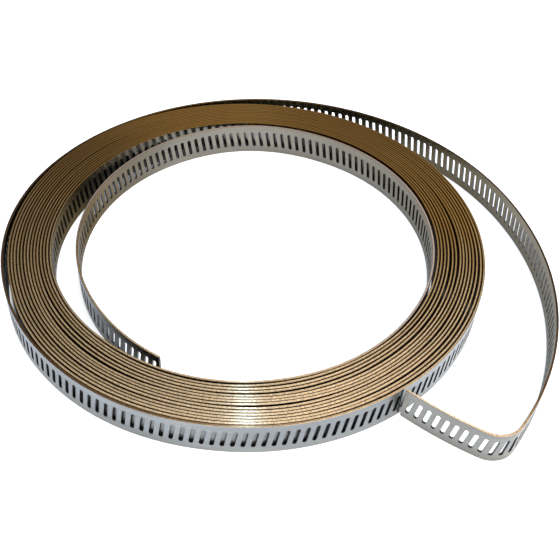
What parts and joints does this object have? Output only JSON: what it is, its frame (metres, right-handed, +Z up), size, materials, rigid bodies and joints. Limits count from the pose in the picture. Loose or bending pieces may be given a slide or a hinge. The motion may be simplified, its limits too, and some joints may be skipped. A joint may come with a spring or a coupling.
{
  "type": "tensioning strap",
  "caption": "Coil of slotted stainless steel tensioning band, lying on its edge, with a sprung outer loop and a loose inner end.",
  "frame": {"origin": "middle of the coil's eye, level with the strap's lower edges", "axes": "+Z up out of the lying coil, along the coil's axis and across the band; +X towards the side where the outer loop stands off; -Y towards the viewer of the picture"},
  "size_m": [0.1936, 0.1757, 0.0127],
  "materials": {
    "strap_steel": "satin"
  },
  "bodies": {
    "root": {"slotted_strap": "strap_steel"}
  },
  "joints": []
}
